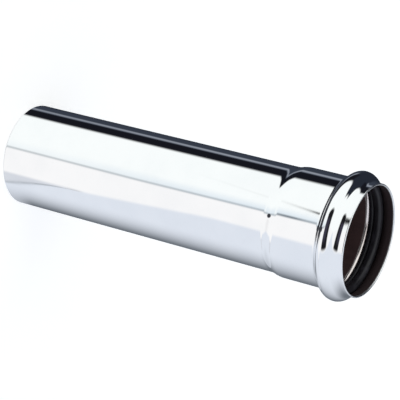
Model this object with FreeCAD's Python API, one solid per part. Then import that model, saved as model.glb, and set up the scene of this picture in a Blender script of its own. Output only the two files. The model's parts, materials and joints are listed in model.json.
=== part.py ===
"""Basin waste tail pipe: a plated tube with a swaged push-fit socket, and the rubber lip seal in its bead.

The pipe stands on its plain end. The origin is the centre of that end, +Z runs up the pipe's axis to the
socket's mouth, and every length is in millimetres.
"""
import FreeCAD, Part
import math
import os

# Pipe
LENGTH = 120.0               # plain end to the rim of the mouth
TUBE_DIAMETER = 32.0         # outside of the plain tube, and of any tube that the socket takes
WALL = 0.6                   # sheet thickness, the same along the whole pipe
END_BREAK = 0.15             # edge break on the square-cut plain end

# Socket
SOCKET_DEPTH = 27.1          # rim of the mouth down to the start of the flare
SOCKET_CLEARANCE = 0.14      # radial play of a mating tube in the socket
MOUTH_CLEARANCE = 0.32       # radial play of a mating tube in the wider lead-in collar
FLARE_NECK_RADIUS = 6.5      # bend that leads out of the tube, outside
FLARE_CROWN_RADIUS = 8.0     # gentler bend back into the socket, outside

# Rolled bead that houses the seal
BEAD_SETBACK = 5.9           # rim of the mouth down to the crest of the bead
BEAD_RADIUS = 2.6            # half-round section of the bead, outside
SOCKET_BEND = 1.5            # bend from the socket into the bead, outside
COLLAR_BEND = 2.5            # gentler bend from the bead out to the lead-in collar, outside

# Seal
SEAL_CLEARANCE = 0.05        # between the rubber and the metal of its groove
SEAL_BITE = 0.5              # radial squeeze of the main lip on a mating tube
BACK_LIP_BITE = 0.2          # radial squeeze of the smaller back lip
LIP_LAND = 0.6               # straight stretch of the main lip, which grips the tube
LIP_ROUND = 0.5              # rounding behind that stretch
BACK_LIP_SHARE = 0.7         # share of the width behind the main lip that the back lip takes

# Radii and levels that follow from the sizes above
tube_r = TUBE_DIAMETER / 2
socket_r = tube_r + SOCKET_CLEARANCE + WALL
collar_r = tube_r + MOUTH_CLEARANCE + WALL
flare_bends = FLARE_NECK_RADIUS + FLARE_CROWN_RADIUS
flare_angle = math.acos(1 - (socket_r - tube_r) / flare_bends)
flare_start_z = LENGTH - SOCKET_DEPTH
flare_end_z = flare_start_z + flare_bends * math.sin(flare_angle)
bead_r = socket_r
bead_z = LENGTH - BEAD_SETBACK


def point(r, z):
    """A point of the half section, at radius r and height z."""
    return FreeCAD.Vector(r, 0, z)


def on_circle(centre, radius, angle):
    """The point at an angle, in radians from the outward direction, on a circle of the half section."""
    return centre + point(radius * math.cos(angle), radius * math.sin(angle))


def line(start, end):
    return Part.LineSegment(start, end).toShape()


def arc(centre, radius, first, last):
    """An arc of the half section between two angles."""
    middle = on_circle(centre, radius, (first + last) / 2)
    return Part.Arc(on_circle(centre, radius, first), middle, on_circle(centre, radius, last)).toShape()


def bead_bend(base_r, bend, side):
    """Centre of a bend between the bead and a cylinder of base_r, and the bead's angle where they meet.

    side is -1 for the socket below the bead and +1 for the collar above it.
    """
    reach = BEAD_RADIUS + bend
    rise = base_r + bend - bead_r
    centre = point(base_r + bend, bead_z + side * math.sqrt(reach ** 2 - rise ** 2))
    return centre, side * math.acos(rise / reach)


def wall_line(depth):
    """Edges of the pipe's surface at a depth below its outside, from the plain end up to the rim.

    Every bend keeps its centre at each depth, so the sheet has one thickness all the way.
    """
    neck = point(tube_r + FLARE_NECK_RADIUS, flare_start_z)
    crown = point(socket_r - FLARE_CROWN_RADIUS, flare_end_z)
    low_bend, low_angle = bead_bend(socket_r, SOCKET_BEND, -1)
    high_bend, high_angle = bead_bend(collar_r, COLLAR_BEND, 1)
    bead = point(bead_r, bead_z)
    return [
        line(point(tube_r - depth, END_BREAK), point(tube_r - depth, flare_start_z)),
        arc(neck, FLARE_NECK_RADIUS + depth, math.pi, math.pi - flare_angle),
        arc(crown, FLARE_CROWN_RADIUS - depth, -flare_angle, 0),
        line(point(socket_r - depth, flare_end_z), point(socket_r - depth, low_bend.z)),
        arc(low_bend, SOCKET_BEND + depth, math.pi, math.pi + low_angle),
        arc(bead, BEAD_RADIUS - depth, low_angle, high_angle),
        arc(high_bend, COLLAR_BEND + depth, math.pi + high_angle, math.pi),
        line(point(collar_r - depth, high_bend.z), point(collar_r - depth, LENGTH - WALL / 2)),
    ]


def revolved(edges):
    """The solid that a closed half section sweeps round the pipe's axis."""
    face = Part.Face(Part.Wire(Part.__sortEdges__(edges)))
    return face.revolve(FreeCAD.Vector(0, 0, 0), FreeCAD.Vector(0, 0, 1), 360)


def make_pipe():
    """Tube, flared socket, rolled bead and collar, all formed from one length of tube."""
    inner_r = tube_r - WALL
    rim_centre = point(collar_r - WALL / 2, LENGTH - WALL / 2)
    rim = arc(rim_centre, WALL / 2, 0, math.pi)
    end = [
        line(point(tube_r, END_BREAK), point(tube_r - END_BREAK, 0)),
        line(point(tube_r - END_BREAK, 0), point(inner_r + END_BREAK, 0)),
        line(point(inner_r + END_BREAK, 0), point(inner_r, END_BREAK)),
    ]
    return revolved(wall_line(0) + wall_line(WALL) + [rim] + end)


def make_seal():
    """Rubber ring: a round back that fills the bead, a main lip with a round lead-in, and a low back lip."""
    half_width = BEAD_RADIUS - WALL - SEAL_CLEARANCE
    front_z = bead_z + half_width
    back_z = bead_z - half_width
    lip_r = tube_r - SEAL_BITE
    lead_in_r = bead_r - lip_r
    floor_r = lip_r + LIP_ROUND
    lip_high_z = front_z - lead_in_r
    lip_low_z = lip_high_z - LIP_LAND
    floor_z = lip_low_z - LIP_ROUND
    back_lip_r = tube_r - BACK_LIP_BITE
    back_lip_width = BACK_LIP_SHARE * (floor_z - back_z)
    back_lip_z = back_z + back_lip_width
    back_lip = Part.Arc(
        point(floor_r, back_lip_z), point(back_lip_r, back_z + back_lip_width / 2), point(floor_r, back_z))
    return revolved([
        arc(point(bead_r, bead_z), half_width, -math.pi / 2, math.pi / 2),
        arc(point(bead_r, lip_high_z), lead_in_r, math.pi / 2, math.pi),
        line(point(lip_r, lip_high_z), point(lip_r, lip_low_z)),
        arc(point(floor_r, lip_low_z), LIP_ROUND, math.pi, math.pi * 3 / 2),
        line(point(floor_r, floor_z), point(floor_r, back_lip_z)),
        back_lip.toShape(),
        line(point(floor_r, back_z), point(bead_r, back_z)),
    ])


os.makedirs("parts", exist_ok=True)
for node, shape in (("socket_pipe", make_pipe()), ("lip_seal", make_seal())):
    shape.exportStep("parts/" + node + ".step")
    print(node, "valid", shape.isValid(), "volume", round(shape.Volume, 1), "mm3", "box", shape.BoundBox)
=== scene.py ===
# %% [markdown]
# # A basin waste tail pipe
# The water of a basin leaves through a thin chrome-plated brass tube. One end is cut square. The other
# is swaged out to a socket, and a bead rolled into the socket holds a rubber lip seal, so that such
# tubes push together. The packed solids are the frame of this lesson: nothing in it is moved or resized.
# We turn both pieces again as fine meshes, plate one, mould the other, and stand them in a small studio
# that gives the chrome something to mirror.

# %% Load the frame
import bmesh
import bpy
import json
import math
from mathutils import Matrix, Vector


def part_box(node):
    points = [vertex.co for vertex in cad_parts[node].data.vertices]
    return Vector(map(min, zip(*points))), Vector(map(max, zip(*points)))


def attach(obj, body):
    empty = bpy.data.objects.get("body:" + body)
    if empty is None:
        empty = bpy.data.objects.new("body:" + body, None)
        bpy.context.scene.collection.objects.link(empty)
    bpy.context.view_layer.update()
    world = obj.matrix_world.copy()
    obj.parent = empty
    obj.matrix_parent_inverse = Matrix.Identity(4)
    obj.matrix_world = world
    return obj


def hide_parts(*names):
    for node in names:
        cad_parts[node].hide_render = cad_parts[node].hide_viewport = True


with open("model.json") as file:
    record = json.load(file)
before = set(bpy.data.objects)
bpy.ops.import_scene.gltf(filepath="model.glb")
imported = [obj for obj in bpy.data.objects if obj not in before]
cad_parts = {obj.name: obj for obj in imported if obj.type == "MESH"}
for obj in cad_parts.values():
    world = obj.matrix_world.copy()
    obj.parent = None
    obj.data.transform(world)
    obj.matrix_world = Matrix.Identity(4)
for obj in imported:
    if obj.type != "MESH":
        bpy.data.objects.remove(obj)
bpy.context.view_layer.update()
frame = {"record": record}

# %% [markdown]
# ## Sizes
# Every length that the frame knows is read from it: the boxes of the two solids, and the mounts of the
# record. Only what neither of them tells is written here, such as the thickness of the sheet and the
# radii of its bends. Blender counts in metres, so a millimetre gets a name.

# %% Sizes from the frame
MM = 0.001
WALL = 0.6 * MM              # sheet thickness, the same along the whole pipe
END_BREAK = 0.15 * MM        # edge break on the square-cut plain end
SOCKET_STEP = 0.74 * MM      # how far the socket stands out from the tube
COLLAR_STEP = 0.92 * MM      # how far the lead-in collar stands out from the tube
NECK_RADIUS = 6.5 * MM       # bend of the flare that leads out of the tube, outside
CROWN_RADIUS = 8.0 * MM      # gentler bend of the flare back into the socket, outside
SOCKET_BEND = 1.5 * MM       # bend from the socket into the bead, outside
COLLAR_BEND = 2.5 * MM       # bend from the bead out to the collar, outside

mounts = {mount["name"]: mount["dims"] for mount in frame["record"]["mounts"]}
pipe_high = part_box("socket_pipe")[1]
seal_low, seal_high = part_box("lip_seal")
length = pipe_high.z
tube_r = mounts["plain_end"]["r_mm"] * MM
socket_r = tube_r + SOCKET_STEP
collar_r = tube_r + COLLAR_STEP
flare_z = mounts["plain_end"]["length_mm"] * MM + END_BREAK
flare_bends = NECK_RADIUS + CROWN_RADIUS
flare_angle = math.acos(1 - SOCKET_STEP / flare_bends)
flare_length = flare_bends * math.sin(flare_angle)
bead_z = (seal_low.z + seal_high.z) / 2
bead_radius = pipe_high.x - socket_r
print("length", round(length / MM, 2), "tube radius", round(tube_r / MM, 2), "mm")
print("flare at", round(flare_z / MM, 2), "bead at", round(bead_z / MM, 2), "mm")

# %% [markdown]
# ## The pipe's half section
# A spun or swaged tube is round everywhere, so one half section says all about it: a closed outline of
# points, each with a radius and a height. Straights and tangent arcs are enough. Each bend keeps its
# centre on both faces of the sheet, which gives the wall one thickness.

# %% Draw one face of the sheet
ARC_STEP = math.radians(3)


def arc(centre, radius, first, last):
    """Points of an arc of the half section; angles count from the outward direction towards the mouth."""
    steps = math.ceil(abs(last - first) / ARC_STEP)
    angles = [first + (last - first) * step / steps for step in range(steps + 1)]
    return [(centre[0] + radius * math.cos(a), centre[1] + radius * math.sin(a)) for a in angles]


def bead_bend(base_r, bend, side):
    """Centre of a bend beside the bead, and the bead's angle there; side is -1 below it and 1 above."""
    reach = bead_radius + bend
    rise = base_r + bend - socket_r
    centre = (base_r + bend, bead_z + side * math.sqrt(reach ** 2 - rise ** 2))
    return centre, side * math.acos(rise / reach)


low_bend, low_angle = bead_bend(socket_r, SOCKET_BEND, -1)
high_bend, high_angle = bead_bend(collar_r, COLLAR_BEND, 1)


def wall_line(depth):
    """One face of the sheet, from the plain end up to the rim, at a depth below the outside."""
    neck = (tube_r + NECK_RADIUS, flare_z)
    crown = (socket_r - CROWN_RADIUS, flare_z + flare_length)
    return [
        (tube_r - depth, END_BREAK),
        *arc(neck, NECK_RADIUS + depth, math.pi, math.pi - flare_angle),
        *arc(crown, CROWN_RADIUS - depth, -flare_angle, 0),
        *arc(low_bend, SOCKET_BEND + depth, math.pi, math.pi + low_angle),
        *arc((socket_r, bead_z), bead_radius - depth, low_angle, high_angle),
        *arc(high_bend, COLLAR_BEND + depth, math.pi + high_angle, math.pi),
        (collar_r - depth, length - WALL / 2),
    ]


print("bead from", round(low_bend[1] / MM, 2), "to", round(high_bend[1] / MM, 2), "mm, with its bends")

# %% [markdown]
# ### Closing the outline
# A mirror finish shows the smallest error of a normal. Where an arc meets a long straight, smooth
# shading would tilt the normals of the whole straight. A steadying point close to each of its ends keeps
# that to a sliver.

# %% Close the pipe's half section
STEADY = 0.05 * MM           # from the end of a straight to its steadying point
LONG_RUN = 1.0 * MM          # a straight longer than this gets steadying points
DOUBLED = 0.001 * MM         # points closer than this are one point


def steadied(outline):
    """The closed outline without doubled points, and with a point near each end of a long straight."""
    points = []
    for here, there in zip(outline, outline[1:] + outline[:1]):
        run = math.dist(here, there)
        if run < DOUBLED:
            continue
        points.append(here)
        if run > LONG_RUN:
            for share in (STEADY / run, 1 - STEADY / run):
                points.append(tuple(a + (b - a) * share for a, b in zip(here, there)))
    return points


def pipe_section():
    """Outside up to the mouth, over the round rim, down the bore and across the cut end."""
    rim = arc((collar_r - WALL / 2, length - WALL / 2), WALL / 2, 0, math.pi)
    cut_end = [(tube_r - WALL + END_BREAK, 0), (tube_r - END_BREAK, 0)]
    return steadied(wall_line(0) + rim + wall_line(WALL)[::-1] + cut_end)


print("pipe section", len(pipe_section()), "points")

# %% [markdown]
# ## The seal's half section
# The rubber ring has a round back that fills the bead. Towards the mouth a round lead-in guides the tube
# onto the main lip, whose short straight land grips it, and a low lip behind wipes it. The grip is a
# mount in the record, so the radius and the width of the land are read from there.

# %% Draw the seal's half section
LIP_ROUND = 0.5 * MM         # rounding behind the land of the main lip
BACK_LIP_HEIGHT = 0.2 * MM   # how far the back lip stands in from the floor between the lips
BACK_LIP_SHARE = 0.7         # share of the width behind the main lip that the back lip takes

lip_r = mounts["seal_bore"]["r_mm"] * MM
lip_land = mounts["seal_bore"]["length_mm"] * MM


def seal_section():
    """Round back from rear to front, then the lead-in, the main lip, the floor and the back lip."""
    half_width = (seal_high.z - seal_low.z) / 2
    lead_in = socket_r - lip_r
    floor_r = lip_r + LIP_ROUND
    lip_high = seal_high.z - lead_in
    lip_low = lip_high - lip_land
    half_lip = BACK_LIP_SHARE * (lip_low - LIP_ROUND - seal_low.z) / 2
    back_radius = (half_lip ** 2 + BACK_LIP_HEIGHT ** 2) / (2 * BACK_LIP_HEIGHT)
    back_centre = (floor_r - BACK_LIP_HEIGHT + back_radius, seal_low.z + half_lip)
    back_sweep = math.asin(half_lip / back_radius)
    return steadied([
        *arc((socket_r, bead_z), half_width, -math.pi / 2, math.pi / 2),
        *arc((socket_r, lip_high), lead_in, math.pi / 2, math.pi),
        *arc((floor_r, lip_low), LIP_ROUND, math.pi, math.pi * 3 / 2),
        *arc(back_centre, back_radius, math.pi - back_sweep, math.pi + back_sweep),
    ])


print("seal section", len(seal_section()), "points, lip radius", round(lip_r / MM, 2), "mm")

# %% [markdown]
# ## Writing nodes as sums
# Node trees are easier to read as arithmetic than as long lists of links. One small class wraps a
# socket. Its operators add Math nodes, also with a plain number on the left, so that 1 - mask works.
# Every other node comes from its one method, which takes the type, the settings, and the values or links
# of the sockets.

# %% A socket that Python can count with
class Wire:
    """An output socket of a node tree, or a bare tree to start from."""

    def __init__(self, tree, socket=None):
        self.tree = tree
        self.socket = socket

    def node(self, kind, settings=None, sockets=None, output=0):
        """Add a node, set its settings, fill its sockets, and hand on one of its outputs if it has any."""
        made = self.tree.nodes.new(kind)
        for name, value in (settings or {}).items():
            setattr(made, name, value)
        for name, value in (sockets or {}).items():
            socket = Wire.find(made.inputs, name)
            if isinstance(value, Wire):
                self.tree.links.new(value.socket, socket)
            else:
                socket.default_value = value
        return Wire(self.tree, Wire.find(made.outputs, output) if made.outputs else None)

    @staticmethod
    def find(sockets, name):
        """A socket by its place, or by its name among those that the node's settings leave in use."""
        if isinstance(name, int):
            return sockets[name]
        return next(socket for socket in sockets if socket.name == name and socket.enabled)

    def math(self, operation, *values):
        """A Math node on these values."""
        return self.node("ShaderNodeMath", {"operation": operation}, dict(enumerate(values)))

    def __add__(self, other):
        return self.math("ADD", self, other)

    def __radd__(self, other):
        return self.math("ADD", other, self)

    def __sub__(self, other):
        return self.math("SUBTRACT", self, other)

    def __rsub__(self, other):
        return self.math("SUBTRACT", other, self)

    def __mul__(self, other):
        return self.math("MULTIPLY", self, other)

    def __rmul__(self, other):
        return self.math("MULTIPLY", other, self)

    def __pow__(self, other):
        return self.math("POWER", self, other)

    def __rpow__(self, other):
        return self.math("POWER", other, self)

    def __abs__(self):
        return self.math("ABSOLUTE", self)

    def larger(self, other):
        """This value or the other, whichever is larger."""
        return self.math("MAXIMUM", self, other)

    def parts(self):
        """The x, y and z of a vector."""
        return [self.node("ShaderNodeSeparateXYZ", {}, {"Vector": self}, axis) for axis in "XYZ"]

    def fade(self, start, end):
        """0 at start and 1 at end, with a soft step between them."""
        return self.node("ShaderNodeMapRange", {"interpolation_type": "SMOOTHSTEP"},
                         {"Value": self, "From Min": start, "From Max": end})

    def ramp(self, start, end, low, high):
        """A straight run from low at start to high at end, and level outside."""
        return self.node("ShaderNodeMapRange", {}, {"Value": self, "From Min": start, "From Max": end,
                                                    "To Min": low, "To Max": high})

    def blend(self, colour, other):
        """Mix two colours, with this value as the share of the second."""
        return self.node("ShaderNodeMix", {"data_type": "RGBA"},
                         {"Factor": self, "A": colour, "B": other}, "Result")


print("a wire has", [name for name, member in vars(Wire).items() if callable(member)])

# %% [markdown]
# ## A lathe in Geometry Nodes
# Both pieces follow one rule: a half section turned about the axis. The Spin tool could do it, and so
# could a Screw modifier. A node tree says it more openly: draw the section as a curve, carry it round a
# circle, and shade it smooth apart from its creases. On a circle, Curve to Mesh points the section's X
# outwards and its Y down, so a section is drawn with its distance from the turning radius as X, and its
# height, with the sign turned, as Y.

# %% Build the lathe
LATHE_INPUTS = {"Section": "Geometry", "Turning radius": "Float", "Facets": "Int", "Crease angle": "Float",
                "Finish": "Material"}


def build_lathe():
    """The node tree that turns a half section into a piece with its finish on."""
    tree = bpy.data.node_groups.new("lathe", "GeometryNodeTree")
    for name, kind in LATHE_INPUTS.items():
        tree.interface.new_socket(name=name, in_out="INPUT", socket_type="NodeSocket" + kind)
    tree.interface.new_socket(name="Mesh", in_out="OUTPUT", socket_type="NodeSocketGeometry")
    bench = Wire(tree)
    given = tree.nodes.new("NodeGroupInput").outputs
    section, radius, facets, crease, finish = [Wire(tree, given[name]) for name in LATHE_INPUTS]
    profile = bench.node("GeometryNodeMeshToCurve", {}, {"Mesh": section})
    circle = bench.node("GeometryNodeCurvePrimitiveCircle", {}, {"Resolution": facets, "Radius": radius})
    turned = bench.node("GeometryNodeCurveToMesh", {}, {"Curve": circle, "Profile Curve": profile})
    smooth = bench.node("GeometryNodeSetShadeSmooth", {"domain": "FACE"},
                        {"Geometry": turned, "Shade Smooth": True})
    angle = bench.node("GeometryNodeInputMeshEdgeAngle", output="Unsigned Angle")
    sharp = bench.math("GREATER_THAN", angle, crease)
    creased = bench.node("GeometryNodeSetShadeSmooth", {"domain": "EDGE"},
                         {"Geometry": smooth, "Selection": sharp, "Shade Smooth": False})
    real = bench.node("GeometryNodeRealizeInstances", {}, {"Geometry": creased})
    dressed = bench.node("GeometryNodeSetMaterial", {}, {"Geometry": real, "Material": finish})
    bench.node("NodeGroupOutput", {}, {"Mesh": dressed})
    return tree


lathe = build_lathe()
print("lathe inputs", list(LATHE_INPUTS))

# %% [markdown]
# ## Helpers for finishes
# A finish is a material made of nodes. Both finishes start from an empty tree, and both need soft noise
# with lumps of a known size. The noise is placed by Object coordinates, which here are metres along the
# pipe's own axes, so that it stays on the piece from every side.

# %% Start a finish, and add noise to it
def new_finish(name):
    """An empty material and the wire that its nodes start from."""
    material = bpy.data.materials.new(name)
    material.use_nodes = True
    material.node_tree.nodes.clear()
    return material, Wire(material.node_tree)


def noise(place, size, detail, stretch=(1, 1, 1)):
    """Soft noise from 0 to 1 with lumps of a size in metres, longer where the stretch is small."""
    scaled = place.node("ShaderNodeVectorMath", {"operation": "MULTIPLY"}, {0: place, 1: stretch})
    return place.node("ShaderNodeTexNoise", {}, {"Vector": scaled, "Scale": 1 / size, "Detail": detail})


def from_axis(x, y):
    """The distance from the pipe's axis."""
    return (x * x + y * y) ** 0.5


print("helpers", [helper.__name__ for helper in (new_finish, noise, from_axis)])

# %% [markdown]
# ## Inside and outside of the sheet
# Plating hardly reaches down a narrow bore, so the pipe has two finishes on one thin sheet. A second
# material would need the faces sorted by hand. Instead a mask tells the two sides apart by the distance
# from the axis: a line in the middle of the wall steps out at the flare and swells at the bead. Just
# below the seal the bore is bright: a narrow band of pale, shinier metal, with an edge that wanders a
# little, is painted there as a highlight, and its metal also mirrors the studio.

# %% Find the bore and its band of painted highlight
SIDE_FADE = WALL / 6         # half the width of the soft edge between the two sides
HIGHLIGHT_BELOW = 1.3 * MM   # how far below the seal the band of painted highlight starts
BAND_FADE = 0.3 * MM         # half the width of the band's soft edge
BAND_WANDER = 0.6 * MM       # how far that edge wanders up and down
WANDER = {"size": 5 * MM, "detail": 2}


def in_bore(radius, z):
    """1 on the inner face of the sheet and 0 on the outer one."""
    step = z.fade(flare_z, flare_z + flare_length) * SOCKET_STEP
    swell = z.fade(low_bend[1], bead_z) * z.fade(high_bend[1], bead_z)
    mid_wall = step + swell * bead_radius + (tube_r - WALL / 2)
    return (radius - mid_wall).fade(SIDE_FADE, -SIDE_FADE)


def in_band(place, z):
    """1 at the height of the band of painted highlight."""
    level = z + (noise(place, **WANDER) - 0.5) * BAND_WANDER
    start = seal_low.z - HIGHLIGHT_BELOW
    return level.fade(start - BAND_FADE, start + BAND_FADE) * z.fade(seal_high.z, bead_z)


print("burnished from", round((seal_low.z - HIGHLIGHT_BELOW) / MM, 2),
      "mm, up to the seal at", round(seal_low.z / MM, 2), "mm")

# %% [markdown]
# ## Chrome plate
# The outside is brass that was polished and plated, so it is close to a perfect mirror. A perfect one
# looks like glass, though. Real plate has a trace of haze, fine lines along the axis from drawing the
# tube, and slow ripples where rollers pressed the socket, and the trimmed rim is a little duller. The
# bore stays bare, dull and brown, and it is darker inside the collar. Each property is built up from
# these masks, and haze and lines are kept so faint that they only take the edge off the mirror.

# %% Plate the pipe
CHROME_BRIGHT = (0.982, 0.984, 0.986, 1)
CHROME_HAZY = (0.955, 0.961, 0.967, 1)
# pale, partly matt metal of the band below the seal: a painted highlight
HIGHLIGHT_PALE = (0.99, 0.90, 0.87, 1)
BORE_BROWN = (0.145, 0.085, 0.083, 1)
BORE_DARK = (0.05, 0.036, 0.038, 1)
HAZE = {"size": 9 * MM, "detail": 3}
HAZE_SETS_IN = (0.35, 0.75)  # levels of the noise between which haze sets in
DRAW_LINES = {"size": 0.5 * MM, "detail": 2, "stretch": (1, 1, 0.02)}
RIPPLES = {"size": 8 * MM, "detail": 1, "stretch": (1, 1, 0.4)}
TARNISH = {"size": 4 * MM, "detail": 5, "stretch": (1, 1, 0.3)}
ROUGH = {"mirror": 0.025, "haze": 0.02, "lines": 0.01, "band": 0.1,
         "rim": 0.25, "bare": 0.4, "tarnish": 0.2}   # what each of them adds to the roughness
BAND_DULLNESS = 0.2          # how much less metallic the band is than the plate
BARE_GLOSS = 0.05            # specular level of the dull metal
BARE_TOP = (0.25, 1)         # depths under the rim, in sheet thicknesses, from plated to bare
RIM_TRIM = (0.6, 0.3)        # depths under the rim, in sheet thicknesses, from bright to duller
RIPPLE_HEIGHT = 0.006 * MM
LINE_HEIGHT = 0.0003 * MM


def chrome_plate():
    """Polished chrome outside, dull brown metal down the bore, and a band of painted highlight below the
    seal.
    """
    material, plate = new_finish("chrome_plate")
    place = plate.node("ShaderNodeTexCoord", output="Object")
    x, y, z = place.parts()
    inside = in_bore(from_axis(x, y), z)
    painted_highlight = in_band(place, z)
    bare = inside * (1 - painted_highlight) * z.fade(*[length - WALL * depth for depth in BARE_TOP])
    band = inside * painted_highlight
    rim = z.fade(*[length - WALL * depth for depth in RIM_TRIM])
    haze = noise(place, **HAZE).fade(*HAZE_SETS_IN)
    lines = noise(place, **DRAW_LINES)
    tarnish = noise(place, **TARNISH)

    plated = haze.blend(CHROME_BRIGHT, CHROME_HAZY)
    bore = (tarnish * z.fade(bead_z, seal_low.z)).blend(BORE_DARK, BORE_BROWN)
    # the pale band below the seal is a painted highlight, and its metal also mirrors the studio
    colour = bare.blend(band.blend(plated, HIGHLIGHT_PALE), bore)
    roughness = (ROUGH["mirror"] + haze * ROUGH["haze"] + lines * ROUGH["lines"] + band * ROUGH["band"]
                 + rim * ROUGH["rim"] + bare * (ROUGH["bare"] + tarnish * ROUGH["tarnish"]))
    rippled = plate.node("ShaderNodeBump", {}, {
        "Strength": 1.0, "Distance": RIPPLE_HEIGHT, "Height": noise(place, **RIPPLES)})
    bump = plate.node("ShaderNodeBump", {}, {
        "Strength": 1.0, "Distance": LINE_HEIGHT, "Height": lines, "Normal": rippled})
    shader = plate.node("ShaderNodeBsdfPrincipled", {}, {
        "Base Color": colour, "Metallic": 1 - bare - band * BAND_DULLNESS, "Roughness": roughness,
        "Specular IOR Level": BARE_GLOSS, "Normal": bump})
    plate.node("ShaderNodeOutputMaterial", {}, {"Surface": shader})
    return material


chrome = chrome_plate()
print("chrome plate", len(chrome.node_tree.nodes), "nodes")

# %% [markdown]
# ## Seal rubber
# Moulded rubber is black with a satin skin. Close by it has a fine grain from the mould, faint flow
# rings from the way it was pressed, and patches of pale bloom. Its lips have been wiped smooth, so they
# shine a little more than the rest. Black paint with one roughness would read as plastic, so grain and
# rings go into the bump, the bloom into colour and roughness, and the wiped lips into roughness alone.

# %% Mould the rubber
RUBBER_BLACK = (0.017, 0.016, 0.02, 1)
RUBBER_BLOOM = (0.036, 0.034, 0.044, 1)
WIPED_EDGE = (0.9 * MM, 0.4 * MM)  # distances out from the main lip, from unwiped to wiped
GRAIN = {"size": 0.25 * MM, "detail": 3}
FLOW_RINGS = {"size": 0.5 * MM, "detail": 2, "stretch": (0.02, 0.02, 1)}
BLOOM = {"size": 3 * MM, "detail": 4}
BLOOM_SETS_IN = (0.4, 0.8)        # levels of the noise between which bloom sets in
GRAIN_SHARE = 0.8                 # share of the grain in the height of the skin, the rest is rings
GRAIN_HEIGHT = 0.02 * MM
GRAIN_STRENGTH = 0.6
SATIN = {"skin": 0.62, "wiped": 0.34, "bloom": 0.12, "grain": 0.08}
RUBBER_GLOSS = 0.35               # specular level of the skin


def seal_rubber():
    """Satin black rubber with mould grain, flow rings, a little bloom and wiped lips."""
    material, rubber = new_finish("seal_rubber")
    place = rubber.node("ShaderNodeTexCoord", output="Object")
    x, y = place.parts()[:2]
    wiped = from_axis(x, y).fade(*[lip_r + distance for distance in WIPED_EDGE])
    grain = noise(place, **GRAIN)
    rings = noise(place, **FLOW_RINGS)
    bloom = noise(place, **BLOOM).fade(*BLOOM_SETS_IN)
    height = grain * GRAIN_SHARE + rings * (1 - GRAIN_SHARE)
    bump = rubber.node("ShaderNodeBump", {}, {
        "Strength": GRAIN_STRENGTH, "Distance": GRAIN_HEIGHT, "Height": height})
    roughness = SATIN["skin"] - wiped * SATIN["wiped"] + bloom * SATIN["bloom"] + grain * SATIN["grain"]
    shader = rubber.node("ShaderNodeBsdfPrincipled", {}, {
        "Base Color": bloom.blend(RUBBER_BLACK, RUBBER_BLOOM), "Roughness": roughness,
        "Specular IOR Level": RUBBER_GLOSS, "Normal": bump})
    rubber.node("ShaderNodeOutputMaterial", {}, {"Surface": shader})
    return material


rubber = seal_rubber()
print("seal rubber", len(rubber.node_tree.nodes), "nodes")

# %% [markdown] ## Turning the pieces A section becomes a mesh of edges, the lathe turns it, and
# new_from_object keeps the result as a plain mesh with its place in its points. Turning can leave a
# shell inside out, so the normals are worked out again, and the signed volume proves that they point
# outwards.

# %% Put a half section on the lathe
CREASE_ANGLE = math.radians(30)


def on_lathe(name, section, facets, finish):
    """A new object at the origin, with a plain mesh that the lathe turned from the half section."""
    edges = [(i, (i + 1) % len(section)) for i in range(len(section))]
    drawing = bpy.data.meshes.new(name + "_section")
    drawing.from_pydata([(radius - tube_r, -height, 0) for radius, height in section], edges, [])
    piece = bpy.data.objects.new(name, drawing)
    bpy.context.scene.collection.objects.link(piece)
    modifier = piece.modifiers.new("lathe", "NODES")
    modifier.node_group = lathe
    given = {"Turning radius": tube_r, "Facets": facets, "Crease angle": CREASE_ANGLE, "Finish": finish}
    for item in lathe.interface.items_tree:
        if item.name in given:
            modifier[item.identifier] = given[item.name]
    piece.data.update()      # so that the lathe runs with these inputs
    depsgraph = bpy.context.evaluated_depsgraph_get()
    turned = bpy.data.meshes.new_from_object(piece.evaluated_get(depsgraph))
    piece.modifiers.remove(modifier)
    piece.data = turned
    bpy.data.meshes.remove(drawing)
    return piece


def close_shell(mesh):
    """Merge doubled points, point the faces outwards, and give the volume inside."""
    shell = bmesh.new()
    shell.from_mesh(mesh)
    bmesh.ops.remove_doubles(shell, verts=shell.verts, dist=DOUBLED)
    bmesh.ops.recalc_face_normals(shell, faces=shell.faces)
    volume = shell.calc_volume(signed=True)
    shell.to_mesh(mesh)
    shell.free()
    return volume


def turn(name, section, facets, finish):
    """Turn a half section into a finished piece."""
    piece = on_lathe(name, section, facets, finish)
    volume = close_shell(piece.data)
    print(name, len(piece.data.polygons), "faces,", round(volume / MM ** 3), "mm3, finish",
          [material.name for material in piece.data.materials])
    return piece


print("edges sharper than", round(math.degrees(CREASE_ANGLE)), "degrees stay creases")

# %% [markdown] ### Both pieces The pipe gets the most facets, because a mirror shows every corner of an
# outline, and the seal is black and small.

# %% Turn both pieces and give them their places
PIPE_FACETS = 192
SEAL_FACETS = 144

pipe = turn("plated_pipe", pipe_section(), PIPE_FACETS, chrome)
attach(pipe, "root")
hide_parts("socket_pipe")

seal = turn("moulded_seal", seal_section(), SEAL_FACETS, rubber)
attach(seal, "root")
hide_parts("lip_seal")

# %% [markdown]
# ## The floor
# The pipe stands on a plain pale floor. Camera rays get a little light of its own from it, which brings
# it up to white, while the shadow of the pipe stays. The wall of a standing tube mirrors what is below
# the horizon, so a floor that it could see would make it plain white all over. It is hidden from mirror
# rays, and the studio shows instead.

# %% Lay the floor
FLOOR_HALF = 3.0
FLOOR_PALE = (0.8, 0.8, 0.8, 1)
FLOOR_GLOW = (0.5, 0.5, 0.5, 1)
FLOOR_ROUGHNESS = 0.9
NO_LIGHT = (0, 0, 0, 1)


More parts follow.
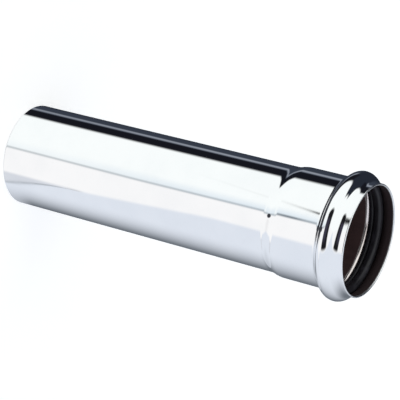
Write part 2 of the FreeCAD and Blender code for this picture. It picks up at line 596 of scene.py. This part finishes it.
def floor_paint():
    """Matt pale paint that glows a little for the camera alone."""
    material, paint = new_finish("floor_paint")
    seen = paint.node("ShaderNodeLightPath", output="Is Camera Ray")
    shader = paint.node("ShaderNodeBsdfPrincipled", {}, {
        "Base Color": FLOOR_PALE, "Roughness": FLOOR_ROUGHNESS, "Specular IOR Level": 0.0,
        "Emission Color": seen.blend(NO_LIGHT, FLOOR_GLOW), "Emission Strength": 1.0})
    paint.node("ShaderNodeOutputMaterial", {}, {"Surface": shader})
    return material


def lay_floor():
    """A large pale square at the level of the cut end."""
    corners = [(-FLOOR_HALF, -FLOOR_HALF, 0), (FLOOR_HALF, -FLOOR_HALF, 0), (FLOOR_HALF, FLOOR_HALF, 0),
               (-FLOOR_HALF, FLOOR_HALF, 0)]
    mesh = bpy.data.meshes.new("floor")
    mesh.from_pydata(corners, [], [(0, 1, 2, 3)])
    mesh.materials.append(floor_paint())
    floor = bpy.data.objects.new("floor", mesh)
    bpy.context.scene.collection.objects.link(floor)
    floor.visible_glossy = False
    return floor


floor = lay_floor()
print("floor", tuple(round(side, 2) for side in floor.dimensions), "m")

# %% [markdown]
# ## The studio
# A mirror has no colour of its own: the bands on chrome are the cards that stand round it. Planes and
# lamps could make them, but a thin line on the pipe would need a card placed to a hair. So the studio is
# painted into the world by direction, card over card. A bearing is counted in degrees from the camera's
# side, below zero towards the picture's top, and the polar angle from straight up. A straight wall
# mirrors about one polar angle for each height, from 113 at the mouth to 126 at the plain end, and a
# bend sweeps through many. A line along the pipe is therefore an edge whose bearing follows the polar
# angle. In the cells below, two numbers are the angles over which something fades in, and four are two
# polar angles and the value at each of them.

# %% Tones and lines
def shown(red, green, blue):
    """The light that shows as these screen values, from 0 to 255, by the sRGB curve."""
    values = [value / 255 for value in (red, green, blue)]
    return (*[v / 12.92 if v <= 0.04045 else ((v + 0.055) / 1.055) ** 2.4 for v in values], 1)


def stripe(angle, centre, half_width):
    """1 on a line at the centre, falling to 0 on both sides."""
    return abs(angle - centre).fade(half_width, 0)


print("screen value 128 is light of", round(shown(128, 128, 128)[0], 3))

# %% [markdown]
# ### The dark side
# The upper edge of the pipe in the picture mirrors slate cloth at the back. A pale seam runs down the
# cloth, and a black card before it gives the white beside it its bite. Their edges lean, because on the
# pipe they are not quite parallel to its axis.

# %% Hang the dark side
SLATE_FAR = shown(42, 48, 57)
SLATE_NEAR = shown(54, 60, 72)
SLATE_HIGH = shown(36, 41, 51)
UNDER_PALE = shown(100, 105, 113)
PALE_SEAM = shown(146, 152, 163)
BLACK_CARD = shown(22, 23, 30)
LEANS = [(80, 115, -6, 1), (115, 124, 0, 3), (126, 148, 0, 15)]
LEAN_OVERHEAD = (46, 62, 8, 0)
SLATE_TURN = (-180, -140)              # bearings from the far tone of the cloth to the near one
SLATE_RISE = (112, 100)                # polar angles over which the cloth darkens upwards
UNDERNEATH = (132, 148)                # polar angles over which a card passes into its tone below
UNDER_TURN = (-165, -140)              # bearings over which the cloth gets paler below
PALE_SEAM_AT = -128.5
PALE_SEAM_HALF = 7.5
PALE_SEAM_TOP = (98, 110)
PALE_SEAM_WEAKENS = (118, 125, 1, 0.8)
BLACK_EDGE = (-123, -119.5)
BLACK_TOP = (78, 90)


def leaning(bearing, polar):
    """Bearings corrected for the lean of the edges on the dark side."""
    high, middle, low = [polar.ramp(*lean) for lean in LEANS]
    return bearing - (high + middle + low) - polar.ramp(*LEAN_OVERHEAD)


def dark_side(bearing, polar):
    """Slate cloth with its pale seam, and the black card before it."""
    front = leaning(bearing, polar)
    view = bearing.fade(*SLATE_TURN).blend(SLATE_FAR, SLATE_NEAR)
    view = polar.fade(*SLATE_RISE).blend(view, SLATE_HIGH)
    view = (polar.fade(*UNDERNEATH) * bearing.fade(*UNDER_TURN)).blend(view, UNDER_PALE)
    seam = stripe(front, PALE_SEAM_AT, PALE_SEAM_HALF) * polar.fade(*PALE_SEAM_TOP)
    view = (seam * polar.ramp(*PALE_SEAM_WEAKENS)).blend(view, PALE_SEAM)
    return (front.fade(*BLACK_EDGE) * polar.fade(*BLACK_TOP)).blend(view, BLACK_CARD)


print("slate from", SLATE_TURN[0], "and black from", BLACK_EDGE[1], "degrees")

# %% [markdown]
# ### The white side
# White boxes overhead and along the picture's upper side give the pipe its broad bright band. Towards
# the front they are shaded to a cool white, most of all near the socket. The collar and the upper half
# of the bead mirror higher directions than the tube does, and there the shade is left out.

# %% Hang the white side
WHITE_BOX = shown(251, 255, 255)
WHITE_SHADED = shown(219, 231, 241)
OVERHEAD = (38, 33)                    # polar angles of the edge of the box overhead
WHITE_BOX_EDGE = (-100.5, -92)
SHADE_EDGE = (-26, -6)
SHADE_DEPTH = (116, 124, 0.85, 0.22)   # deep at the socket, shallow at the plain end
SHADE_BELOW = (126, 128.5)             # polar angles over which it gets deeper again below
SHADE_BELOW_DEPTH = 0.5
CLEAR_OF_COLLAR = (113.9, 114.5)       # polar angles between those of the collar and of the socket


def white_side(view, bearing, polar):
    """White boxes, shaded towards the front."""
    view = polar.fade(*OVERHEAD).blend(view, WHITE_BOX)
    view = leaning(bearing, polar).fade(*WHITE_BOX_EDGE).blend(view, WHITE_BOX)
    shade = polar.ramp(*SHADE_DEPTH) + polar.fade(*SHADE_BELOW) * SHADE_BELOW_DEPTH
    return (bearing.fade(*SHADE_EDGE) * shade * polar.fade(*CLEAR_OF_COLLAR)).blend(view, WHITE_SHADED)


print("white side from", WHITE_BOX_EDGE[1], "degrees")

# %% [markdown]
# ### The warm card
# Straight in front stands a card of a warmer white. A grey seam marks its edge all along the pipe. Above
# the seam, a thin dark line runs across the socket from the bead and soon fades out.

# %% Hang the warm card
WARM_CARD = shown(250, 250, 251)
GREY_SEAM = shown(118, 126, 134)
FRONT_FLAG = shown(28, 28, 31)
UNDER_DARK = shown(56, 57, 63)
TAIL_AT = -27.5                        # bearing of the dark line beside the bead
TAIL_FROM = 114.6                      # polar angle there
TAIL_SLOPE = 4.9                       # degrees of bearing for each degree of polar angle
TAIL_HALF = 4
TAIL_TOP = (113.9, 114.4)
TAIL_FADES = [(114.6, 115, 1, 0.32), (115, 115.8, 1, 0.25), (116, 119.5, 1, 0)]
SEAM_LEAN = (115, 121, -7, -3)         # two polar angles, and the seam's bearing at each
SEAM_HALF = 4.5
SEAM_STRENGTHENS = (115, 115.4, 0.6, 1)
SEAM_WEAKENS = (115.7, 116.6, 1, 0.47)
WARM_EDGE = (0, 3)                     # bearings, counted from the seam
WARM_BELOW = (139, 152)                # polar angles over which the card darkens a little below
WARM_BELOW_EDGE = (10, 20)
WARM_BELOW_DEPTH = 0.12


def warm_card(view, bearing, polar):
    """The dark line, then the warm card and the seam at its edge."""
    tail = bearing - TAIL_AT + (polar - TAIL_FROM) * TAIL_SLOPE
    at_bead, early, late = [polar.ramp(*fading) for fading in TAIL_FADES]
    depth = polar.fade(*TAIL_TOP) * at_bead * early * late
    view = (stripe(tail, 0, TAIL_HALF) * depth).blend(view, FRONT_FLAG)
    seam = bearing - polar.ramp(*SEAM_LEAN)
    view = seam.fade(*WARM_EDGE).blend(view, WARM_CARD)
    below = polar.fade(*WARM_BELOW) * seam.fade(*WARM_BELOW_EDGE) * WARM_BELOW_DEPTH
    view = below.blend(view, UNDER_DARK)
    strength = polar.ramp(*SEAM_WEAKENS) * polar.ramp(*SEAM_STRENGTHENS) * polar.fade(*CLEAR_OF_COLLAR)
    return (stripe(seam, 0, SEAM_HALF) * strength).blend(view, GREY_SEAM)


print("grey seam at", SEAM_LEAN[2], "to", SEAM_LEAN[3], "degrees")

# %% [markdown]
# ### The front flag
# Photographers call a black card that keeps light away a flag. This one stands in front, and the
# straight walls look just below it. Only the bead and the bend beside it see it, as two dark strips. One
# of its sides is a curve. Low down in its middle it is a little paler, and a small tip hangs far enough
# down to show on the collar.

# %% Hang the front flag
FLAG_EDGE = shown(58, 56, 70)
FLAG_CENTRE = 83                       # polar angle at which the curved side reaches furthest
FLAG_CURVE = 0.008
FLAG_SIDES = [(-42, -34), (39, 30)]    # bearings of the curved side and of the straight one
FLAG_UPPER = (52, 61)
FLAG_UPPER_SLOPE = 0.25
FLAG_LOWER = (113, 107)
FLAG_LOWER_SLOPE = 0.1
TIP_AT = -26.5
TIP_WIDTH = (113.75, 113.4, 8.5, 2.5)  # two polar angles, and half the tip's width at each
TIP_SOFT = (-2, 2)
TIP_ENDS = [(114.4, 113.9), (100, 108)]
PALE_LOW = (64, 88)                    # polar angles over which the flag gets paler downwards
PALE_SIDES = [(-24, -14), (26, 12)]


def front_flag(view, bearing, polar):
    """The black flag with its curved side, and the tip below it."""
    curved, straight = FLAG_SIDES
    rise = polar - FLAG_CENTRE
    flag = (bearing - rise * rise * FLAG_CURVE).fade(*curved) * bearing.fade(*straight)
    flag = flag * (polar + bearing * FLAG_UPPER_SLOPE).fade(*FLAG_UPPER)
    flag = flag * (polar + bearing * FLAG_LOWER_SLOPE).fade(*FLAG_LOWER)
    tip = (polar.ramp(*TIP_WIDTH) - abs(bearing - TIP_AT)).fade(*TIP_SOFT)
    for end in TIP_ENDS:
        tip = tip * polar.fade(*end)
    pale = polar.fade(*PALE_LOW)
    for side in PALE_SIDES:
        pale = pale * bearing.fade(*side)
    return flag.larger(tip).blend(view, pale.blend(FRONT_FLAG, FLAG_EDGE))


print("front flag from", FLAG_SIDES[0][0], "to", FLAG_SIDES[1][0], "degrees")

# %% [markdown]
# ### The cool side
# The lower side of the pipe in the picture mirrors a cool pale card that falls off into dusk at the
# back. Its edge to the warm card drifts along the tube. Near the plain end a wedge of a darker tone
# opens along that edge, with a fine line on its lower side, and at the very end the dusk is only half as
# deep.

# %% Hang the cool side
COOL_CARD = shown(224, 230, 240)
DUSK = shown(107, 113, 121)
WEDGE = shown(215, 219, 227)
WEDGE_LINE = shown(166, 172, 180)
COOL_EDGE = (118.2, 122.5, 37.5, 56)   # two polar angles, and the bearing of the card's edge at each
COOL_EDGE_BELOW = (126.5, 130, 0, 9)   # how far that edge comes back further down
COOL_SOFT = (-4.5, 4.5)
DUSK_FALL = (80, 163)                  # bearings from the pale tone to dusk
DUSK_TOP = (40, 105)
END_SLOPE = 0.005                      # evens out the polar angle that the cut end mirrors at each bearing
END_WEAKENS = (125.05, 125.5, 1, 0.52)
UNDER_DUSK = (110, 165)                # bearings over which the card turns dark below
WEDGE_AT = 123                         # polar angle of the wedge's point
WEDGE_FROM = 58                        # bearing of its point
WEDGE_CURVE = 0.455
WEDGE_EDGE = (-0.1, 0.2)
WEDGE_ENDS = [(92, 80), (129, 127)]    # bearings and polar angles at which the wedge ends
WEDGE_LINE_HALF = 0.3


def dusk_card(bearing, polar):
    """The cool card with its fall into dusk, and with the wedge near the plain end."""
    under = polar.fade(*UNDERNEATH)
    near_end = (polar + bearing * END_SLOPE).ramp(*END_WEAKENS)
    fall = bearing.fade(*DUSK_FALL) * polar.fade(*DUSK_TOP) * (near_end + under * (1 - END_WEAKENS[3]))
    dusk = fall.blend(COOL_CARD, DUSK)
    dusk = (under * bearing.fade(*UNDER_DUSK)).blend(dusk, UNDER_DARK)
    wedge = polar - WEDGE_AT - (bearing - WEDGE_FROM).larger(0) ** 0.5 * WEDGE_CURVE
    far_bearing, far_polar = WEDGE_ENDS
    wedge_end = bearing.fade(*far_bearing) * polar.fade(*far_polar)
    dusk = (wedge.fade(*WEDGE_EDGE) * wedge_end).blend(dusk, WEDGE)
    return (stripe(wedge, 0, WEDGE_LINE_HALF) * wedge_end).blend(dusk, WEDGE_LINE)


def cool_side(view, bearing, polar):
    """The cool card, from its drifting edge to the back."""
    from_edge = bearing - polar.ramp(*COOL_EDGE) + polar.ramp(*COOL_EDGE_BELOW)
    return from_edge.fade(*COOL_SOFT).blend(view, dusk_card(bearing, polar))


print("cool side from", COOL_EDGE[2], "to", COOL_EDGE[3], "degrees")

# %% [markdown]
# ### What lies below
# Only the flare and the underside of the bead look steeply down. They see a small dark spot, a dark
# sheet with a curved edge, and the dark ground straight below. One tone is enough for all three, so the
# largest of their masks counts.

# %% Darken what lies below
SPOT_X = 0.016                         # sideways part of the direction of the spot
SPOT_POLAR = 153
SPOT_SCALES = (18, 0.09)               # weights of the distances sideways and upwards from its centre
SPOT_EDGE = (1.5, 0.6)                 # weighted distances over which it fades in, squared
SHEET_CURVE = 0.00146
SHEET_TOP = (153.5, 157)
SHEET_SIDES = [(45, 20), (-135, -125)]
GROUND = (161, 168)


def dark_below(view, x, bearing, polar):
    """The spot, the sheet and the ground, all in one tone."""
    across = (x - SPOT_X) * SPOT_SCALES[0]
    upward = (SPOT_POLAR - polar) * SPOT_SCALES[1]
    spot = (across * across + upward * upward).fade(*SPOT_EDGE)
    sheet = (polar + bearing * bearing * SHEET_CURVE).fade(*SHEET_TOP)
    for side in SHEET_SIDES:
        sheet = sheet * bearing.fade(*side)
    return spot.larger(sheet.larger(polar.fade(*GROUND))).blend(view, UNDER_DARK)


print("spot at a polar angle of", SPOT_POLAR, "degrees")

# %% [markdown]
# ### The whole studio
# Each card is painted over the ones before it, and the result lights the world at a strength of 1. The
# camera itself sees a plain white background.

# %% Hang all the cards
WHITE = (1, 1, 1, 1)


def hang_cards():
    """The world with all its cards."""
    world = bpy.data.worlds.new("studio")
    world.use_nodes = True
    world.node_tree.nodes.clear()
    room = Wire(world.node_tree)
    x, y, z = room.node("ShaderNodeTexCoord", output="Generated").parts()
    bearing = room.math("ARCTAN2", x, 0 - y) * math.degrees(1)
    polar = room.math("ARCCOSINE", z) * math.degrees(1)
    view = dark_side(bearing, polar)
    for card in (white_side, warm_card, front_flag, cool_side):
        view = card(view, bearing, polar)
    view = dark_below(view, x, bearing, polar)
    seen = room.node("ShaderNodeLightPath", output="Is Camera Ray")
    light = room.node("ShaderNodeBackground", {}, {"Color": seen.blend(view, WHITE), "Strength": 1.0})
    room.node("ShaderNodeOutputWorld", {}, {"Surface": light})
    bpy.context.scene.world = world
    return world


studio = hang_cards()
print("studio", len(studio.node_tree.nodes), "nodes")

# %% [markdown]
# ## The camera
# The photograph shows the pipe lying, with its mouth to the right, and ours stands on its cut end. A
# camera that looks down on it and is rolled on its own axis gives the same picture. It aims near the
# middle of the pipe, and a long lens keeps the perspective as flat as in the photograph.

# %% Set up the camera
CAMERA_AIM = Vector((0.78, 1.3, 62.36)) * MM
CAMERA_DISTANCE = 501.85 * MM
CAMERA_ELEVATION = math.radians(28.717)
CAMERA_ROLL = math.radians(104.544)
CAMERA_LENS = 148.51         # millimetres
CAMERA_SENSOR = 36           # millimetres

camera = bpy.data.objects.new("camera", bpy.data.cameras.new("camera"))
camera.data.lens = CAMERA_LENS
camera.data.sensor_width = CAMERA_SENSOR
turned_down = Matrix.Rotation(math.radians(90) - CAMERA_ELEVATION, 4, "X")
camera.matrix_world = (Matrix.Translation(CAMERA_AIM) @ turned_down @ Matrix.Rotation(CAMERA_ROLL, 4, "Z")
                       @ Matrix.Translation((0, 0, CAMERA_DISTANCE)))
bpy.context.scene.collection.objects.link(camera)
bpy.context.scene.camera = camera
bpy.context.scene.view_settings.view_transform = "Standard"
print("camera at", tuple(round(c / MM, 1) for c in camera.matrix_world.translation), "mm")

# %% [markdown]
